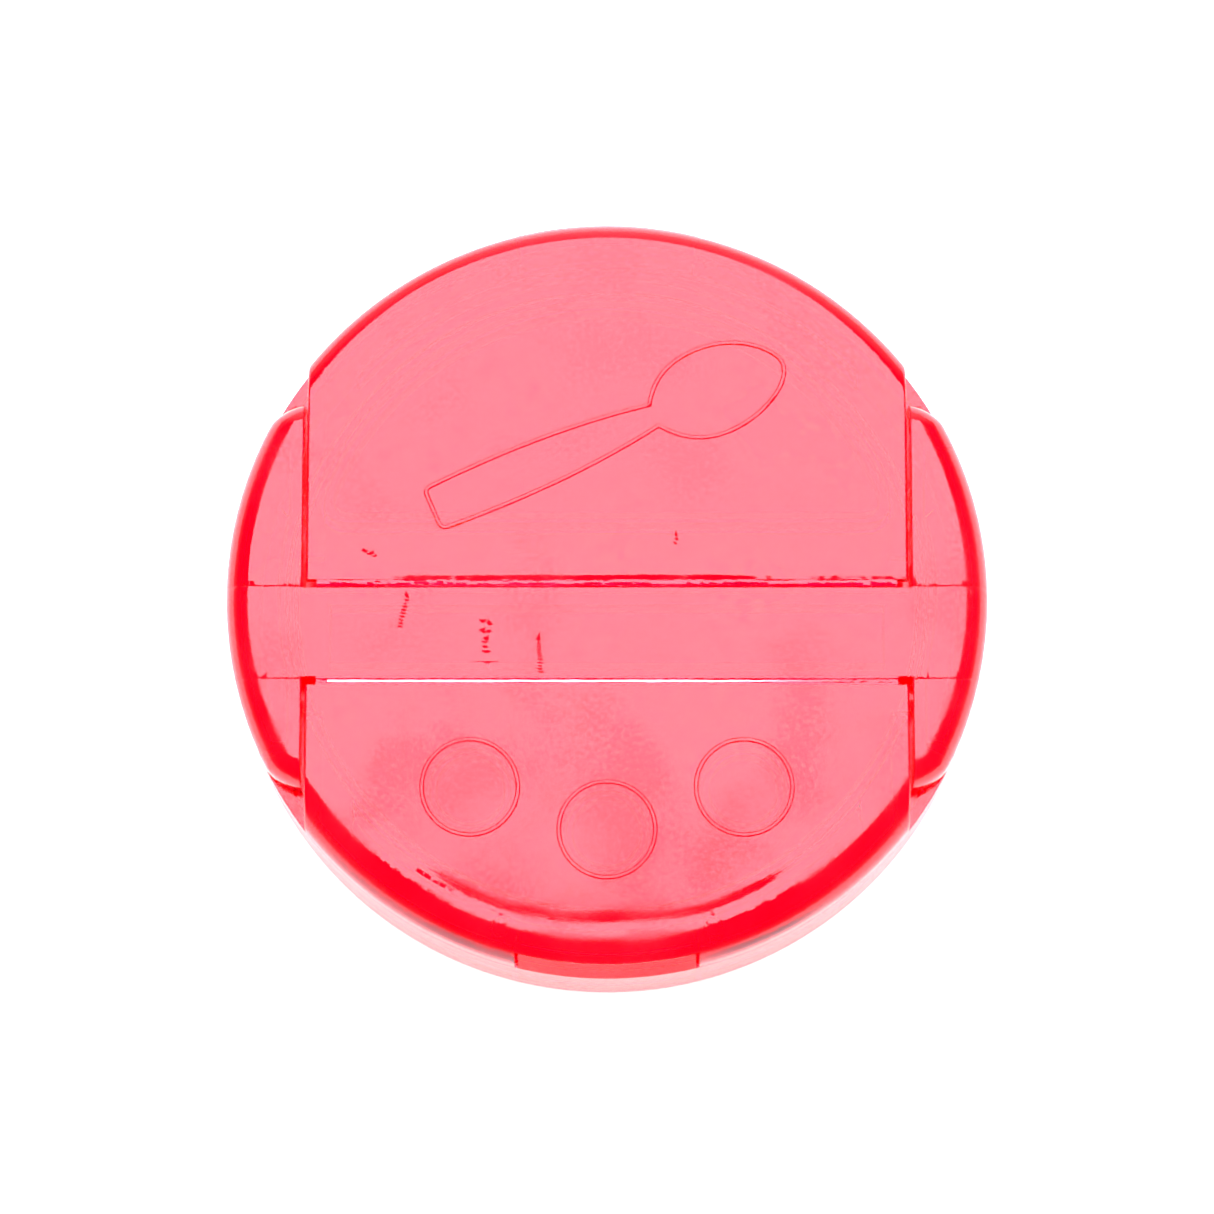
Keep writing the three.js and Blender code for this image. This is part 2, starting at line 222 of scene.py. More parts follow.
def cast(name, lines, inside, top, bottom):
    """A closed skin between two height fields over the part of the plan that is inside."""
    plan, triangles = triangulate(lines, OUTER_R)
    middle = plan[triangles].mean(axis=1)
    triangles = triangles[inside(middle[:, 0], middle[:, 1])]
    used, triangles = np.unique(triangles, return_inverse=True)
    triangles = triangles.reshape(-1, 3)
    plan = plan[used]
    a, b, c = (plan[triangles[:, i]] for i in range(3))
    turn = (b[:, 0] - a[:, 0]) * (c[:, 1] - a[:, 1]) - (b[:, 1] - a[:, 1]) * (c[:, 0] - a[:, 0])
    triangles[turn < 0] = triangles[turn < 0][:, ::-1]
    x, y = plan.T
    upper = np.column_stack([x, y, top(x, y)])
    lower = np.column_stack([x, y, bottom(x, y)])
    count = len(plan)
    directed = [(int(t[i]), int(t[(i + 1) % 3])) for t in triangles for i in range(3)]
    known = set(directed)
    sides = [(q, p, p + count, q + count) for p, q in directed if (q, p) not in known]
    faces = triangles.tolist() + (triangles[:, ::-1] + count).tolist() + sides
    return make_piece(name, np.vstack([upper, lower]), faces)


# ---------------------------------------------------------------- wear and moulding marks

SCUFF_HALF = 0.09  # half the width of one scuff
SCUFF_DEPTH = 0.06
SCUFF_SHARPNESS = 1.4  # how steeply a scuff ends, over half its length
SCUFF_SHAKE = 0.1
SCUFF_SEED = SEED + 60
# rows of short scuffs: x and y of the first and of the last, how many, half the length of each
BASE_SCUFFS = [
    (-17.2, -0.5, -17.9, -3.1, 10, 0.25),
    (-10.6, -2.7, -10.3, -6.2, 5, 0.45),
    (-10.1, -2.9, -10.5, -4.9, 4, 0.3),
    (-5.9, -4.3, -5.7, -7.1, 11, 0.3),
]
FLAP_SCUFFS = [
    (-20.9, 3.5, -20.0, 3.1, 3, 0.4),
    (7.7, 1.5, 7.7, 4.1, 9, 0.12),
    (5.9, 4.2, 6.0, 4.9, 3, 0.2),
]
SINK_R = 28.9  # of the shallow hollow in the front flap's face
SINK_HALF = 0.8
SINK_DEPTH = 0.05
SINK_SEED = SEED + 70
LUG_MARK_R = 0.55  # the ring marks over the front flap's lugs
LUG_MARK_HALF = 0.2
LUG_MARK_HEIGHT = 0.02
LUG_MARK_SHIFT = 0.6  # towards the middle of the cap


def scuff_rows(marks):
    """The middle and half the length of each scuff."""
    for number, (x0, y0, x1, y1, count, half) in enumerate(marks):
        shake = ragged(np.arange(count) * 0.7, SCUFF_SEED + number)
        for x, y, off in zip(np.linspace(x0, x1, count), np.linspace(y0, y1, count), shake):
            yield x + SCUFF_SHAKE * off, y, half * (1 + 0.3 * off)


def scuffs(marks, x, y):
    """Depth of the scuffs at each point."""
    depth = np.zeros_like(x)
    for mark_x, mark_y, half in scuff_rows(marks):
        across = np.clip(1 - np.abs(y - mark_y) / SCUFF_HALF, 0, 1)
        along = np.clip(SCUFF_SHARPNESS - SCUFF_SHARPNESS * np.abs(x - mark_x) / half, 0, 1)
        depth = np.maximum(depth, SCUFF_DEPTH * across * along)
    return depth


def scuff_lines(marks):
    """The plan lines that a mesh needs to show the scuffs."""
    lines = []
    for x, y, half in scuff_rows(marks):
        for offset in (-SCUFF_HALF, 0, SCUFF_HALF):
            lines.append(line(x - half, y + offset, x + half, y + offset, 0.15))
    return lines


def sink_marks(x, y):
    """Depth of the shallow hollow that the seal rib's cooling left in the front flap's face."""
    radius = np.hypot(x, y)
    angle = np.degrees(np.arctan2(x, -y))
    reach = fade_in(angle, -34, -24) * (1 - fade_in(angle, 20, 44))
    reach *= 0.75 + 0.5 * soft_noise(angle, np.zeros_like(x), 5.0, SINK_SEED)
    off = (radius - SINK_R - 0.25 * soft_noise(angle, radius * 3, 4.0, SINK_SEED + 1)) / SINK_HALF
    return SINK_DEPTH * np.clip(reach, 0, 1.2) * np.clip(1 - np.abs(off), 0, 1) * (y < 0)


# ---------------------------------------------------------------- the base

CORE_WALL = 1.3  # around the hollows below the bridge and the lobes
CHANNEL_X = 24.0  # half the length of the hollow below the bridge
LAND_R = 28.4  # where the hollows below the lobes begin
BAND_Y = 13.0  # and half their length
SEAL_R = 27.4
SEAL_HEIGHT = 0.5
SEAL_HALF = 0.25
LATCH_HALF_WALL = 0.4
LATCH_R = latch_high[1] - LATCH_HALF_WALL
LATCH_TOP = latch_high[2]
LATCH_HALF = latch_high[0]
LATCH_TURN = 15  # degrees to each side of the middle, for the plan lines of a latch wall
SHELF_EDGE = 0.35
RIM_CHAMFER = 0.3
HOLE_EDGE = 0.15
RECESS_SLOPE = 1.2  # the finger recess below a flap's lip, rise over run
RECESS_HALF = NOTCH - 0.2
SKIRT_DRAFT = 0.15
PARTING_SHIFT = {1: 0.1, -1: -0.15}  # from the edges of the bridge to the hairlines
PARTING_SEED = SEED + 20
LOBE_TURN = 37  # the same for the outer edge of the lobes


def platform_depth(x, y):
    """Distance inside the outline that the bridge and the lobes share."""
    round_part = np.hypot(x, y) - (OUTER_R - LOBE_CORNER)
    end_part = np.abs(y) - (LOBE_END - LOBE_CORNER)
    outside = np.hypot(np.maximum(round_part, 0), np.maximum(end_part, 0))
    return LOBE_CORNER - outside - np.minimum(np.maximum(round_part, end_part), 0)


def strip_depth(x, y):
    """Distance inside the straight sides of the bridge or of a lobe."""
    return np.maximum(np.abs(x) - LOBE_X, np.minimum(y - BRIDGE_FRONT, BRIDGE_REAR - y))


def opening_depth(x, y):
    """Distance inside the D-shaped spoon opening; negative outside it."""
    round_part = np.hypot(x, y) - (OPENING_R - OPENING_CORNER)
    flat_part = (OPENING_Y + OPENING_CORNER) - y
    outside = np.hypot(np.maximum(round_part, 0), np.maximum(flat_part, 0))
    return OPENING_CORNER - outside - np.minimum(np.maximum(round_part, flat_part), 0)


def contour(depth, level, centre, start, end, step):
    """The line where a depth field has a level, found along rays from a centre."""
    turn = np.radians(np.arange(start, end + step / 2, step))
    low = np.zeros_like(turn)
    high = np.full_like(turn, 2 * OUTER_R)
    for _ in range(40):
        middle = (low + high) / 2
        deep = depth(centre[0] + middle * np.cos(turn), centre[1] + middle * np.sin(turn)) > level
        low = np.where(deep, middle, low)
        high = np.where(deep, high, middle)
    return np.column_stack([centre[0] + low * np.cos(turn), centre[1] + low * np.sin(turn)])


def parting_path(end, x):
    """The y of the hairline across the lobes beside one hinge."""
    hinge = (BRIDGE_REAR if end > 0 else BRIDGE_FRONT) + PARTING_SHIFT[end]
    return hinge + 0.04 * ragged(x, PARTING_SEED + end)


def parting_groove(x, y):
    """Depth of the hairlines at each point."""
    depth = np.zeros_like(x)
    for end in (-1, 1):
        off = np.abs(y - parting_path(end, x)) / PARTING_HALF
        depth = np.maximum(depth, PARTING_DEPTH * np.clip(1 - off, 0, 1))
    return depth * (np.abs(x) > LOBE_X)


def base_inside(x, y):
    clear = opening_depth(x, y) < 0
    for hole_x, hole_y in HOLES:
        clear &= np.hypot(x - hole_x, y - hole_y) > HOLE_R
    return clear & (np.hypot(x, y) < OUTER_R)


def base_top(x, y):
    radius = np.hypot(x, y)
    shelf = SHOULDER - fillet(OUTER_R - radius, SHELF_EDGE)
    shelf -= fillet(-opening_depth(x, y), HOLE_EDGE)
    for hole_x, hole_y in HOLES:
        shelf -= fillet(np.hypot(x - hole_x, y - hole_y) - HOLE_R, HOLE_EDGE)
    latch = np.minimum(LATCH_HALF_WALL - np.abs(radius - LATCH_R), LATCH_HALF - np.abs(x))
    shelf += (LATCH_TOP - SHOULDER) * step_up(latch) * (np.abs(y) > LOBE_END)
    recess = np.minimum(RECESS_SLOPE * (OUTER_R - radius), LATCH_TOP - SHOULDER)
    recess *= step_up(np.minimum(RECESS_HALF - np.abs(x), radius - LATCH_R))
    shelf = np.maximum(shelf, SHOULDER + recess)
    outer = platform_depth(x, y)
    strip = strip_depth(x, y)
    on_bridge = np.minimum(y - BRIDGE_FRONT, BRIDGE_REAR - y) > -TOUCH
    roof = TOP - fillet(outer, EDGE) - fillet(np.where(on_bridge, CRISP, np.abs(x) - LOBE_X), CRISP)
    roof += skin_wave(x, y) - parting_groove(x, y) - scuffs(BASE_SCUFFS, x, y)
    return shelf + (roof - shelf) * step_up(np.minimum(outer, strip))


def base_bottom(x, y):
    radius = np.hypot(x, y)
    rim = np.maximum(radius - (OUTER_R - RIM_CHAMFER), SKIRT_IN + RIM_CHAMFER - radius)
    rim = np.clip(rim, 0, RIM_CHAMFER)
    seal = np.clip(2 - np.abs(radius - SEAL_R) / SEAL_HALF, 0, 1)
    channel = np.minimum(CHANNEL_X - np.abs(x),
                         np.minimum(y - BRIDGE_FRONT, BRIDGE_REAR - y) - CORE_WALL)
    band = np.minimum(radius - LAND_R, np.abs(x) - LOBE_X - CORE_WALL)
    band = np.minimum(band, BAND_Y - np.abs(y))
    ceiling = DECK - SEAL_HEIGHT * seal + (ROOF - DECK) * step_up(np.maximum(channel, band))
    return rim + (ceiling - rim) * step_up(SKIRT_IN - radius, SKIRT_DRAFT)


def both_faces(half):
    """Offsets of the foot and the top of both faces of a leaning wall."""
    return -half, -half + DRAFT, half - DRAFT, half


def base_lines():
    """The plan lines that the base's walls and edges follow."""
    lines = scuff_lines(BASE_SCUFFS)
    radii = [OUTER_R, OUTER_R - RIM_CHAMFER, SKIRT_IN + RIM_CHAMFER]
    radii += [SKIRT_IN, SKIRT_IN - SKIRT_DRAFT]
    radii += [OUTER_R - stop for stop in fillet_stops(SHELF_EDGE, 4)]
    radii += [SEAL_R + share * SEAL_HALF for share in (-2, -1, 1, 2)]
    radii += [LAND_R, LAND_R + DRAFT]
    lines += [arc(radius) for radius in radii]
    for stop in [0, *fillet_stops(EDGE, 12)]:
        for middle in (0, 180):
            lines.append(contour(platform_depth, stop, (0, 0), middle - LOBE_TURN,
                                 middle + LOBE_TURN, 1))
    for stop in [0, *fillet_stops(CRISP, 4)]:
        for side in (-1, 1):
            x = side * (LOBE_X + stop)
            lines.append(line(x, -LOBE_END - 1, x, LOBE_END + 1))
    for inset in (0, DRAFT):
        for y in (BRIDGE_FRONT + inset, BRIDGE_REAR - inset):
            lines.append(line(-LOBE_X - 1, y, LOBE_X + 1, y))
    for end in (-1, 1):
        for side in (-1, 1):
            x = side * np.arange(LOBE_X, OUTER_R, 0.25)
            for offset in (-PARTING_HALF, 0, PARTING_HALF):
                lines.append(np.column_stack([x, parting_path(end, x) + offset]))
    for hole in HOLES:
        for stop in [0, *fillet_stops(HOLE_EDGE, 3)]:
            lines.append(arc(HOLE_R + stop, step=6, centre=hole))
    for stop in [0, *fillet_stops(HOLE_EDGE, 3)]:
        lines.append(contour(opening_depth, -stop, OPENING_MIDDLE, 0, 360, 1))
    for end in (-1, 1):
        first, last = end * 90 - LATCH_TURN, end * 90 + LATCH_TURN
        for offset in both_faces(LATCH_HALF_WALL):
            lines.append(arc(LATCH_R + offset, first, last))
        lines.append(arc(OUTER_R - (LATCH_TOP - SHOULDER) / RECESS_SLOPE, first, last))
        for side in (-1, 1):
            for inset in (0, DRAFT):
                x = side * (LATCH_HALF - inset)
                lines.append(line(x, end * (LATCH_R - 1), x, end * (LATCH_R + 1)))
                x = side * (RECESS_HALF - inset)
                lines.append(line(x, end * (LATCH_R - 1), x, end * OUTER_R))
    for inset in (0, DRAFT):
        front = BRIDGE_FRONT + CORE_WALL + inset
        rear = BRIDGE_REAR - CORE_WALL - inset
        for y in (front, rear):
            lines.append(line(-CHANNEL_X, y, CHANNEL_X, y))
        for side in (-1, 1):
            x = side * (CHANNEL_X - inset)
            lines.append(line(x, front, x, rear))
            x = side * (LOBE_X + CORE_WALL + inset)
            lines.append(line(x, -BAND_Y, x, BAND_Y))
            for y in (inset - BAND_Y, BAND_Y - inset):
                lines.append(line(side * (LOBE_X + 1), y, side * SKIRT_IN, y))
    return lines


# ---------------------------------------------------------------- the flaps

FLAP_WALL = 1.5
RIM_CLEARANCE = 2.2  # between the hinge and the start of a flap's rim
RIB_R = 28.9
RIB_HALF = 0.45
RIB_END = rib_low[2]
RIB_REACH = rib_high[0]
RIB_TURN = 49  # degrees to each side of the middle, for the plan lines of a seal rib
PLUG_FOOT = plug_low[2]
PLUG_WALL = 0.6
OPENING_RIB = 0.9
LIP_MIDDLE = 31.6
LIP_HALF_WALL = 0.5
LIP_HALF = NOTCH - 0.6
LIP_DEPTH = 0.5
LIP_TURN = 15  # the same for a finger lip
NOTCH_TURN = 16  # and for a finger notch
LUG_R = 0.7
LUG_AT = (9.1, 28.9)
BEAD_HALF = 0.2  # half the width of an embossed line
BEAD_HEIGHT = 0.16
BEAD_STOPS = (-1, -0.5, 0, 0.5, 1)  # plan lines along a raised or sunk line, as shares of its half
ICON_R = 4.13
RAMP_SEED = SEED + 30
SINK_ARC = (230, 315)  # where the front flap's shallow hollow begins and ends
SPOON_NECK = (4.1, 15.6)
SPOON_TURN = math.radians(23.5)


def bezier(points, count):
    """Points along a Bezier curve, without its last one."""
    t = np.linspace(0, 1, count, endpoint=False)[:, None]
    rows = [np.array(p, float) for p in points]
    while len(rows) > 1:
        rows = [a + (b - a) * t for a, b in zip(rows, rows[1:])]
    return rows[0]


def spoon_line():
    """The spoon's closed outline: its neck at SPOON_NECK, its bowl towards +X and turned."""
    end_x = -20.9
    end_half = 1.95
    corner = 0.7
    handle_x = -9
    handle_swell = 0.6
    neck = 1.0
    bowl_x = 5.5
    bowl = 3.9
    tip = (12.1, -0.3)
    # side, and what pulls the curve: past the neck, before and after the widest point, at the tip
    pulls = ((-1, (1.6, 0.6), 1.9, 3.1, (-0.2, -1.9)), (1, (1.2, 0.8), 2.3, 4.1, (0.1, 1.3)))
    sides = []
    for side, leave, before, after, tip_pull in pulls:
        half = side * end_half
        cut = side * (end_half - corner)
        widest = (bowl_x, side * bowl)
        sides.append(np.vstack([
            bezier([(end_x, 0), (end_x, cut)], 3),
            bezier([(end_x, cut), (end_x, half), (end_x + corner, half)], 5),
            bezier([(end_x + corner, half), (handle_x, half + side * handle_swell),
                    (0, side * neck)], 24),
            bezier([(0, side * neck), (leave[0], side * (bowl - leave[1])),
                    (bowl_x - before, side * bowl), widest], 14),
            bezier([widest, (bowl_x + after, side * bowl),
                    (tip[0] + tip_pull[0], tip[1] + tip_pull[1]), tip], 14),
        ]))
    lower, upper = sides
    points = np.vstack([lower, [tip], upper[:0:-1], lower[:1]])
    cos, sin = math.cos(SPOON_TURN), math.sin(SPOON_TURN)
    turned = np.column_stack([points[:, 0] * cos - points[:, 1] * sin,
                              points[:, 0] * sin + points[:, 1] * cos])
    return turned + SPOON_NECK


def beside(loop, offset):
    """A line beside a closed one, at a distance to its right."""
    points = loop[:-1]
    ahead = np.roll(points, -1, axis=0) - points
    ahead /= np.hypot(*ahead.T)[:, None]
    behind = np.roll(ahead, 1, axis=0)
    normal = np.column_stack([(ahead + behind)[:, 1], -(ahead + behind)[:, 0]])
    normal /= np.maximum(np.einsum("ij,ij->i", normal, normal), 1.0)[:, None] / 2
    moved = points + offset * normal
    return np.vstack([moved, moved[:1]])


def distance_to(polyline, x, y):
    """Distance of each point from a chain of straight lines."""
    best = np.full_like(x, 1e9)
    for (ax, ay), (bx, by) in zip(polyline, polyline[1:]):
        dx, dy = bx - ax, by - ay
        along = np.clip(((x - ax) * dx + (y - ay) * dy) / (dx * dx + dy * dy), 0, 1)
        best = np.minimum(best, np.hypot(x - ax - along * dx, y - ay - along * dy))
    return best


def bead(distance):
    """Height of an embossed line, from the distance to its middle."""
    return BEAD_HEIGHT * np.clip(2 - 2 * distance / BEAD_HALF, 0, 1)


def skin_wave(x, y):
    """The faint unevenness of a moulded face."""
    return 0.004 * soft_noise(x, y, 3.0, SEED) + 0.012 * soft_noise(x, y, 9.0, SEED + 1)


def hinge_ramp(x, distance, end):
    """How far a flap's plate has sunk beside its hinge, in a ragged slope that dies out."""
    strength = 0.75 + 0.35 * ragged(x, RAMP_SEED + end)
    if end > 0:
        strength *= fade_in(x, -21, -15) * (1 - 0.55 * fade_in(x, 9, 14))
    width = RAMP[end] * (1 + 0.25 * ragged(x, RAMP_SEED + 3 + end))
    return RAMP_DROP[end] * np.maximum(strength, 0.05) * np.clip(1 - distance / width, 0, 1)


def flap_inside(end):
    def inside(x, y):
        radius = np.hypot(x, y)
        in_notch = (np.abs(x) < NOTCH) & (radius > LIP_R[end])
        beyond_hinge = end * y > FLAP_START[end]
        return (radius < FLAP_R) & (np.abs(x) < FLAP_X) & beyond_hinge & ~in_notch
    return inside


def flap_top(end):
    spoon = spoon_line()

    def top(x, y):
        drop = fillet(FLAP_R - np.hypot(x, y), FLAP_EDGE[end]) + fillet(FLAP_X - np.abs(x), CRISP)
        drop += hinge_ramp(x, end * y - FLAP_START[end], end)
        if end > 0:
            raised = bead(distance_to(spoon, x, y))
            drop += scuffs(FLAP_SCUFFS, x, y)
        else:
            raised = sum(bead(np.abs(np.hypot(x - hx, y - hy) - ICON_R)) for hx, hy in HOLES)
            drop += sink_marks(x, y)
            for side in (-1, 1):
                radius = np.hypot(x - side * LUG_AT[0], y + LUG_AT[1] - LUG_MARK_SHIFT)
                off = np.abs(radius - LUG_MARK_R) / LUG_MARK_HALF
                raised += LUG_MARK_HEIGHT * np.clip(1 - off, 0, 1)
        return TOP - drop + raised + skin_wave(x, y)
    return top


def flap_bottom(end):
    def bottom(x, y):
        radius = np.hypot(x, y)
        edge = np.minimum(FLAP_R - radius, FLAP_X - np.abs(x))
        wall = np.minimum(FLAP_WALL - edge, end * y - FLAP_START[end] - RIM_CLEARANCE)
        wall = np.minimum(wall, np.abs(x) - NOTCH)
        depth = (ROOF - FLAP_FOOT) * step_up(wall)
        rib = np.minimum(RIB_HALF - np.abs(radius - RIB_R), RIB_REACH - np.abs(x))
        depth = np.maximum(depth, (ROOF - RIB_END) * step_up(rib))
        lip = np.minimum(LIP_HALF_WALL - np.abs(radius - LIP_MIDDLE), LIP_HALF - np.abs(x))
        depth = np.maximum(depth, LIP_DEPTH * step_up(lip))
        for side in (-1, 1):
            lug = LUG_R - np.hypot(x - side * LUG_AT[0], end * y - LUG_AT[1])
            depth = np.maximum(depth, (ROOF - RIB_END) * step_up(lug))
        if end > 0:
            ring = opening_depth(x, y) - PLUG_CLEARANCE
            ring = np.minimum(ring, OPENING_RIB - ring)
            depth = np.maximum(depth, (ROOF - PLUG_FOOT) * step_up(ring))
        else:
            for hx, hy in HOLES:
                ring = HOLE_R - PLUG_CLEARANCE - np.hypot(x - hx, y - hy)
                ring = np.minimum(ring, PLUG_WALL - ring)
                depth = np.maximum(depth, (ROOF - PLUG_FOOT) * step_up(ring))
        return ROOF - depth
    return bottom


def flap_lines(end):
    """The plan lines that a flap's walls and edges follow."""
    start = FLAP_START[end]
    first, last = (0, 180) if end > 0 else (180, 360)
    middle = end * 90
    lines = [arc(FLAP_R - stop, first, last, 1) for stop in [0, *fillet_stops(FLAP_EDGE[end], 12)]]
    lines += [arc(FLAP_R - FLAP_WALL + offset, first, last) for offset in (0, DRAFT)]
    lines.append(arc(LIP_R[end], middle - NOTCH_TURN, middle + NOTCH_TURN, 1))
    for offset in both_faces(RIB_HALF):
        lines.append(arc(RIB_R + offset, middle - RIB_TURN, middle + RIB_TURN))
    for offset in both_faces(LIP_HALF_WALL):
        lines.append(arc(LIP_MIDDLE + offset, middle - LIP_TURN, middle + LIP_TURN))
    for stop in [0, *fillet_stops(CRISP, 4)]:
        for side in (-1, 1):
            x = side * (FLAP_X - stop)
            lines.append(line(x, end * start, x, end * (LOBE_END + 5)))
    lines.append(line(-FLAP_X, end * start, FLAP_X, end * start, 0.25))
    for share in (0.5, 0.75, 1, 1.25):
        y = end * (start + share * RAMP[end])
        lines.append(line(-FLAP_X, y, FLAP_X, y, 0.25))
    for inset in (0, DRAFT):
        y = end * (start + RIM_CLEARANCE + inset)
        for side in (-1, 1):
            x = side * (FLAP_X - FLAP_WALL + inset)
            lines.append(line(x, y, x, end * (LOBE_END + 5)))
            lines.append(line(side * (FLAP_X - FLAP_WALL), y, side * FLAP_X, y))
            x = side * (NOTCH + inset)
            lines.append(line(x, end * (FLAP_R - 3), x, end * FLAP_R))
            x = side * (LIP_HALF - inset)
            lines.append(line(x, end * (LIP_MIDDLE - 2), x, end * (LIP_MIDDLE + 1)))
            x = side * (RIB_REACH - inset)
            lines.append(line(x, end * 18, x, end * 21))
            centre = (side * LUG_AT[0], end * LUG_AT[1])
            lines.append(arc(LUG_R - inset, step=20, centre=centre))
    if end > 0:
        for inset in (0, DRAFT, OPENING_RIB - DRAFT, OPENING_RIB):
            level = PLUG_CLEARANCE + inset
            lines.append(contour(opening_depth, level, OPENING_MIDDLE, 0, 360, 1))
        for share in BEAD_STOPS:
            lines.append(beside(spoon_line(), share * BEAD_HALF))
        lines += scuff_lines(FLAP_SCUFFS)
    else:
        for hole in HOLES:
            for inset in (0, DRAFT, PLUG_WALL - DRAFT, PLUG_WALL):
                lines.append(arc(HOLE_R - PLUG_CLEARANCE - inset, step=6, centre=hole))
            for share in BEAD_STOPS:
                lines.append(arc(ICON_R + share * BEAD_HALF, step=5, centre=hole))
        for share in BEAD_STOPS:
            lines.append(arc(SINK_R + share * SINK_HALF, *SINK_ARC))
        for side in (-1, 1):
            for offset in (-LUG_MARK_HALF, 0, LUG_MARK_HALF):
                centre = (side * LUG_AT[0], LUG_MARK_SHIFT - LUG_AT[1])
                lines.append(arc(LUG_MARK_R + offset, step=20, centre=centre))
    return lines


# ---------------------------------------------------------------- hinges and thread

WEB_GAP = 0.01
WEB_STEP = 0.16
WEB_LAP = 0.04  # how far a web reaches into the lean of the bridge's wall
WEB_WIDTH = 0.7  # of the profiles below, which are stretched to the web's own width
# top of each web: distance from the bridge, height below the plates
WEB_PROFILE = {
    1: [(0, 0.0), (0.06, 0.09), (0.1, 0.01), (0.2, 0.0), (0.25, 0.13), (0.32, 0.08), (0.48, 0.07),
        (0.6, 0.085), (0.7, 0.07)],
    -1: [(0, 0.0), (0.17, 0.0), (0.22, 0.14), (0.26, 0.045), (0.38, 0.045), (0.5, 0.045),
         (0.53, 0.004), (0.7, 0.006)],
}
WEB_SEED = SEED + 40
HIGHLIGHT_OUT = 0.37  # distance of the middle of the painted highlight strip from the bridge
HIGHLIGHT_HALF = 0.085  # half its width
HIGHLIGHT_DEPTHS = (0.008, 0.03)  # of its top and its underside below the plates
HIGHLIGHT_CROWN = 0.004
HIGHLIGHT_SEED = SEED + 80
THREAD_TURNS = 1.25
THREAD_STEPS = 180
THREAD_DEPTH = 1.1
THREAD_SINK = 0.05  # how far the thread's root reaches into the skirt
THREAD_ROOT = 0.8  # half the height of the thread at its root
THREAD_CREST = 0.35  # and at its crest
THREAD_FADE = 14  # the thread has its full depth after one part in this many of its length


def ribbon(name, rings):
    """A closed skin through rings of equal length, capped at both ends."""
    count = len(rings[0])
    faces = [tuple(range(count))[::-1], tuple(range(count * (len(rings) - 1), count * len(rings)))]
    for row in range(len(rings) - 1):
        for i in range(count):
            a = row * count + i
            b = row * count + (i + 1) % count
            faces.append((a, b, b + count, a + count))
    return make_piece(name, np.vstack(rings), faces)


def hinge_web(name, end):
    """A living hinge: a thin strip with ragged creases along it."""
    low, high = mm_box(name)
    width = high[1] - low[1] + WEB_LAP - WEB_GAP
    start = (low[1] if end > 0 else high[1]) - end * WEB_LAP
    profile = WEB_PROFILE[end]
    x = np.append(np.arange(low[0] + WEB_GAP, high[0] - WEB_GAP, WEB_STEP), high[0] - WEB_GAP)
    rows = []
    for number, (out, sunk) in enumerate(profile):
        inner = 0 < number < len(profile) - 1
        shake = 0.03 * inner * ragged(x, WEB_SEED + number // 2)
        depth = sunk * (1 + 0.45 * inner * ragged(x, WEB_SEED + 10 + number))
        y = start + end * np.clip(out * width / WEB_WIDTH + shake, 0, width)
        rows.append(np.column_stack([x, y, TOP - depth]))
    for out in (width, 0):
        y = np.full_like(x, start + end * out)
        rows.append(np.column_stack([x, y, np.full_like(x, low[2])]))
    rings = list(np.stack(rows, axis=1))
    return ribbon(name + "_strip", rings[::-1] if end > 0 else rings)


def painted_highlight_line(name):
    """A pale, hazy strip along the front hinge, painted in as the hinge's highlight; it dies out to
    the right.
    """
    low, high = mm_box(name)
    x = np.arange(low[0] + 1, high[0] - 5, WEB_STEP)
    half = HIGHLIGHT_HALF * (1 - 0.9 * fade_in(x, 6, high[0] - 6))
    half = half * (1 + 0.25 * ragged(x, HIGHLIGHT_SEED))
    middle = high[1] - HIGHLIGHT_OUT + 0.02 * ragged(x, HIGHLIGHT_SEED + 1)
    upper, lower = (np.full_like(x, TOP - depth) for depth in HIGHLIGHT_DEPTHS)
    outline = [(middle + half, upper), (middle, upper + HIGHLIGHT_CROWN), (middle - half, upper),
               (middle - half, lower), (middle + half, lower)]
    rows = [np.column_stack([x, y, z]) for y, z in outline]
    return ribbon(name + "_painted_highlight", list(np.stack(rows, axis=1)))


def thread_rib(name):
    """The screw thread: a rounded rib that climbs round the inside of the skirt."""
    climb = thread_high[2] - thread_low[2] - 2 * THREAD_ROOT
    flank = THREAD_CREST + 0.16
    profile = ((0, -THREAD_ROOT), (0.55, -flank), (0.92, -THREAD_CREST), (1, 0),
               (0.92, THREAD_CREST), (0.55, flank), (0, THREAD_ROOT))
    rings = []
    for step in range(THREAD_STEPS + 1):
        share = step / THREAD_STEPS
        turn = 2 * math.pi * THREAD_TURNS * share
        fade = min(1, min(share, 1 - share) * THREAD_FADE + 0.05)
        middle = thread_low[2] + THREAD_ROOT + climb * share
        ring = []
        for reach, height in profile:
            radius = SKIRT_IN - THREAD_DEPTH * fade * reach if reach else SKIRT_IN + THREAD_SINK
            ring.append((radius * math.cos(turn), radius * math.sin(turn), middle + height * fade))
        rings.append(ring)
    return ribbon(name + "_helix", rings)


# ---------------------------------------------------------------- materials

IOR = 1.49
DYE = (0.998, 0.02, 0.39, 1)
DYE_DENSITY = 4900.0
CLOUD_SCALE = 110.0
GRAIN_SCALE = 2600.0
STREAK_SCALE = (60.0, 60.0, 5000.0)  # long around the skirt and very fine up it
STREAK_RELIEF = 5.0
SKIRT_FACE_R = OUTER_R - 0.1  # beyond this radius lies the skirt's outside


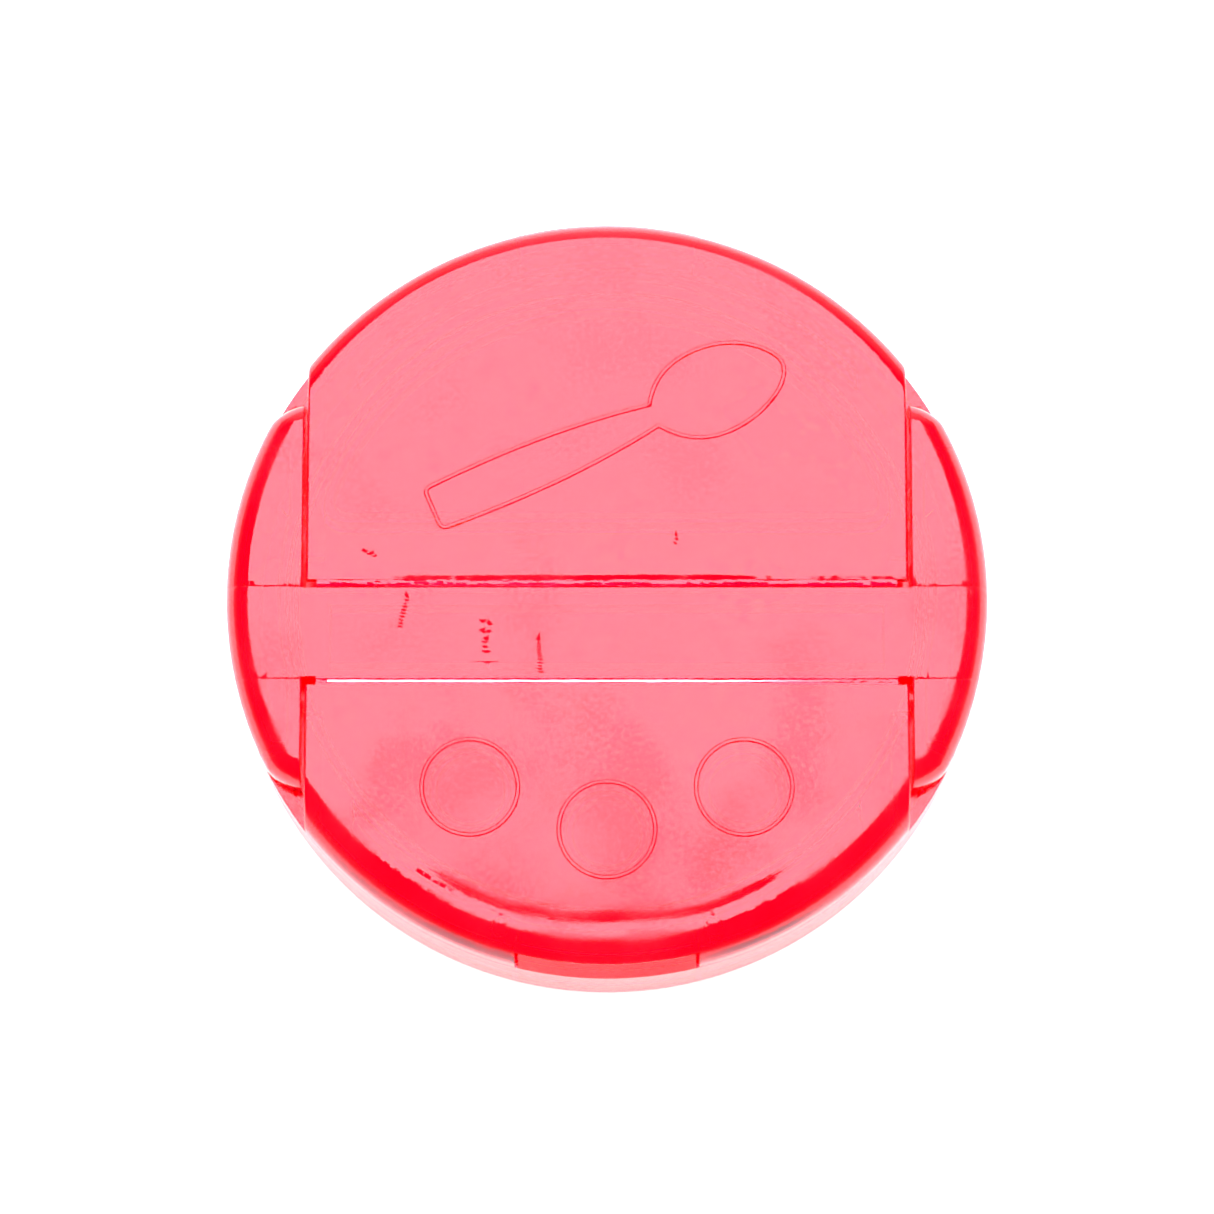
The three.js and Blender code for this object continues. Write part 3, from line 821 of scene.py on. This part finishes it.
class Graph:
    """A short way to add nodes to a material or a world and link them."""

    def __init__(self, owner):
        owner.use_nodes = True
        self.nodes = owner.node_tree.nodes
        self.links = owner.node_tree.links
        self.nodes.clear()

    def add(self, kind, inputs=None, **settings):
        node = self.nodes.new(kind)
        for key, value in settings.items():
            setattr(node, key, value)
        for key, value in (inputs or {}).items():
            if isinstance(value, bpy.types.NodeSocket):
                self.links.new(value, node.inputs[key])
            else:
                node.inputs[key].default_value = value
        return node

    def math(self, operation, a, b=0.0):
        return self.add("ShaderNodeMath", {0: a, 1: b}, operation=operation).outputs[0]

    def noise(self, place, scale, detail):
        inputs = {"Vector": place, "Scale": scale, "Detail": detail}
        return self.add("ShaderNodeTexNoise", inputs).outputs["Fac"]

    def map_range(self, value, low, high, to_low, to_high):
        inputs = {0: value, 1: low, 2: high, 3: to_low, 4: to_high}
        return self.add("ShaderNodeMapRange", inputs).outputs[0]


def clear_plastic(name, haze, tints=((1.0, 0.0, 0.35), (1.0, 0.05, 0.6)), matt=(0.03, 0.24)):
    """Dyed, transparent polypropylene: glass with absorption, a little haze and a scuffed skin.

    The outside of the skirt, below the shoulder, has fine streaks around it instead of patches.
    """
    material = bpy.data.materials.new(name)
    graph = Graph(material)
    place = graph.add("ShaderNodeTexCoord").outputs["Object"]
    stretch = graph.add("ShaderNodeMapping", {"Vector": place, "Scale": STREAK_SCALE})
    cloud = graph.noise(place, CLOUD_SCALE, 5.0)
    streaks = graph.noise(stretch.outputs[0], 1.0, 4.0)
    grain = graph.noise(place, GRAIN_SCALE, 4.0)

    apart = graph.add("ShaderNodeSeparateXYZ", {0: place}).outputs
    squares = [graph.math("MULTIPLY", axis, axis) for axis in apart[:2]]
    radius = graph.math("SQRT", graph.math("ADD", *squares))
    outside = graph.math("GREATER_THAN", radius, SKIRT_FACE_R * MM)
    skirt = graph.math("MULTIPLY", outside, graph.math("LESS_THAN", apart[2], SHOULDER * MM))

    worn = graph.add("ShaderNodeMix", {0: skirt, 2: cloud, 3: streaks}).outputs[0]
    patch = graph.map_range(worn, 0.35, 0.65, 0.0, 1.0)
    tint = graph.add("ShaderNodeMix", {0: patch, 6: (*tints[0], 1), 7: (*tints[1], 1)},
                     data_type="RGBA")
    dull = graph.math("MULTIPLY", patch, graph.math("MULTIPLY", grain, 2.0))
    rough = graph.map_range(dull, 0.0, 1.0, *matt)
    ridges = graph.math("MULTIPLY", graph.math("MULTIPLY", skirt, streaks), STREAK_RELIEF)
    relief = graph.math("ADD", grain, ridges)
    bump = graph.add("ShaderNodeBump", {"Height": relief, "Strength": 0.3, "Distance": 0.000008})
    body = graph.add("ShaderNodeBsdfPrincipled", {
        "Base Color": tint.outputs[2],
        "Roughness": rough,
        "IOR": IOR,
        "Transmission Weight": 1.0 - haze,
        "Normal": bump.outputs[0],
    })
    clear = graph.add("ShaderNodeBsdfTransparent", {"Color": (1, 1, 1, 1)})
    shadow = graph.add("ShaderNodeLightPath").outputs["Is Shadow Ray"]
    skin = graph.add("ShaderNodeMixShader", {0: shadow, 1: body.outputs[0], 2: clear.outputs[0]})
    inside = graph.add("ShaderNodeVolumeAbsorption", {"Color": DYE, "Density": DYE_DENSITY})
    graph.add("ShaderNodeOutputMaterial",
              {"Surface": skin.outputs[0], "Volume": inside.outputs[0]})
    return material


# ---------------------------------------------------------------- the pieces

def finish(piece, material, slot, *nodes):
    """Gives a piece its material and hides the CAD nodes that it stands for. The slot is not used.
    """
    piece.data.materials.append(material)
    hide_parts(*nodes)


HAZE = 0.015
HIGHLIGHT_HAZE = 0.45
red = clear_plastic("clear_red_plastic", HAZE)
flexed = clear_plastic("flexed_red_plastic", HAZE)
# painted highlight: pale tints and heavy haze make the strip along the front hinge shine white
highlight_plastic = clear_plastic("painted_highlight_red_plastic", HIGHLIGHT_HAZE, ((1.0, 0.8, 0.9), (1.0, 0.6, 0.8)),
                         matt=(0.3, 0.5))

base = cast("base_shell", base_lines(), base_inside, base_top, base_bottom)
finish(base, red, "clear_red", "skirt", "deck", "jar_seal_ring", "bridge", "rear_left_lobe",
       "rear_right_lobe", "front_left_lobe", "front_right_lobe", "front_latch_wall",
       "rear_latch_wall")
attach(base, "base")
thread = thread_rib("thread_rib")
finish(thread, red, "clear_red", "thread_rib")
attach(thread, "base")

bodies = frame["record"]["behaviour"]["bodies"]
for end_name, end in (("front", -1), ("rear", 1)):
    body = end_name + "_flap"
    flap = cast(body + "_shell", flap_lines(end), flap_inside(end), flap_top(end), flap_bottom(end))
    finish(flap, red, "clear_red", *bodies[body])
    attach(flap, body)
    web_node = end_name + "_hinge_web"
    strips = [(hinge_web(web_node, end), flexed)]
    # the front hinge also gets a pale strip, a painted highlight
    if end < 0:
        strips.append((painted_highlight_line(web_node), highlight_plastic))
    for strip, material in strips:
        finish(strip, material, "flexed_red", web_node)
        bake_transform(strip)


# ---------------------------------------------------------------- floor, lights, camera

FLOOR_HALF = 3.0
FLOOR_DROP = 0.00005  # below the rim, so that the two never share a face
CAMERA_TILT = math.radians(10.8)
CAMERA_DISTANCE = 0.45
CAMERA_AIM = Vector((0, -0.00107, TOP * MM - 0.0015))
MAX_BOUNCES = 24


def stage_floor():
    half = FLOOR_HALF
    mesh = bpy.data.meshes.new("floor")
    corners = [(-half, -half, 0), (half, -half, 0), (half, half, 0), (-half, half, 0)]
    mesh.from_pydata(corners, [], [(0, 1, 2, 3)])
    floor = bpy.data.objects.new("floor", mesh)
    floor.location.z = -FLOOR_DROP
    bpy.context.scene.collection.objects.link(floor)
    material = bpy.data.materials.new("white_sweep")
    graph = Graph(material)
    paper = graph.add("ShaderNodeBsdfDiffuse", {"Color": (0.86, 0.86, 0.86, 1)})
    graph.add("ShaderNodeOutputMaterial", {"Surface": paper.outputs[0]})
    mesh.materials.append(material)


def softbox(name, place, aim, width, depth, radiance, colour):
    """A rectangular lamp that the camera does not see."""
    light = bpy.data.lights.new(name, "AREA")
    light.shape = "RECTANGLE"
    light.size = width
    light.size_y = depth
    light.energy = radiance * math.pi * width * depth
    light.color = colour
    lamp = bpy.data.objects.new(name, light)
    lamp.location = place
    lamp.rotation_euler = (Vector(aim) - Vector(place)).to_track_quat("-Z", "Y").to_euler()
    lamp.visible_camera = False
    bpy.context.scene.collection.objects.link(lamp)
    return lamp


def studio_world():
    """A white room, but a dark one with a pale rear wall in direct reflections."""
    world = bpy.data.worlds.new("studio")
    bpy.context.scene.world = world
    graph = Graph(world)
    towards = graph.add("ShaderNodeTexCoord").outputs["Generated"]
    direction = graph.add("ShaderNodeSeparateXYZ", {0: towards}).outputs
    rear_wall = graph.map_range(direction["Y"], 0.62, 1.0, 0.0, 1.7)
    horizon = graph.map_range(direction["Z"], 0.3, 0.0, 0.02, 0.5)
    mirrored = graph.add("ShaderNodeBackground", {
        "Color": (0.9, 0.95, 1, 1), "Strength": graph.math("MAXIMUM", rear_wall, horizon)})
    general = graph.add("ShaderNodeBackground", {"Color": (1, 1, 1, 1), "Strength": 1.6})
    path = graph.add("ShaderNodeLightPath").outputs
    scattered = graph.math("ADD", path["Transmission Depth"], path["Diffuse Depth"])
    unscattered = graph.math("LESS_THAN", scattered, 0.5)
    direct = graph.math("MULTIPLY", path["Is Reflection Ray"], unscattered)
    mix = graph.add("ShaderNodeMixShader",
                    {0: direct, 1: general.outputs[0], 2: mirrored.outputs[0]})
    graph.add("ShaderNodeOutputWorld", {"Surface": mix.outputs[0]})
    world.cycles.sampling_method = "NONE"


def camera():
    lens = bpy.data.cameras.new("camera")
    lens.sensor_width = 36
    lens.lens = 154.3
    lens.clip_end = 20
    eye = bpy.data.objects.new("camera", lens)
    back = Vector((0, -math.sin(CAMERA_TILT), math.cos(CAMERA_TILT)))
    eye.location = CAMERA_AIM + CAMERA_DISTANCE * back
    eye.rotation_euler = (CAMERA_TILT, 0, 0)
    bpy.context.scene.collection.objects.link(eye)
    bpy.context.scene.camera = eye


stage_floor()
softbox("overhead_softbox", (0, 0.43, 0.8), (0, 0.43, 0), 0.75, 0.74, 6.9, (1.0, 0.95, 1.14))
floor_light = softbox("floor_light", (0, 0, 2.0), (0, 0, 0), 3.0, 3.0, 1.6, (1, 1, 1))
floor_light.visible_glossy = False
floor_light.visible_transmission = False
studio_world()
camera()

scene = bpy.context.scene
scene.view_settings.view_transform = "Standard"
scene.cycles.caustics_reflective = False
scene.cycles.caustics_refractive = True
scene.cycles.use_denoising = True
scene.cycles.max_bounces = MAX_BOUNCES
scene.cycles.transmission_bounces = MAX_BOUNCES
scene.cycles.transparent_max_bounces = MAX_BOUNCES
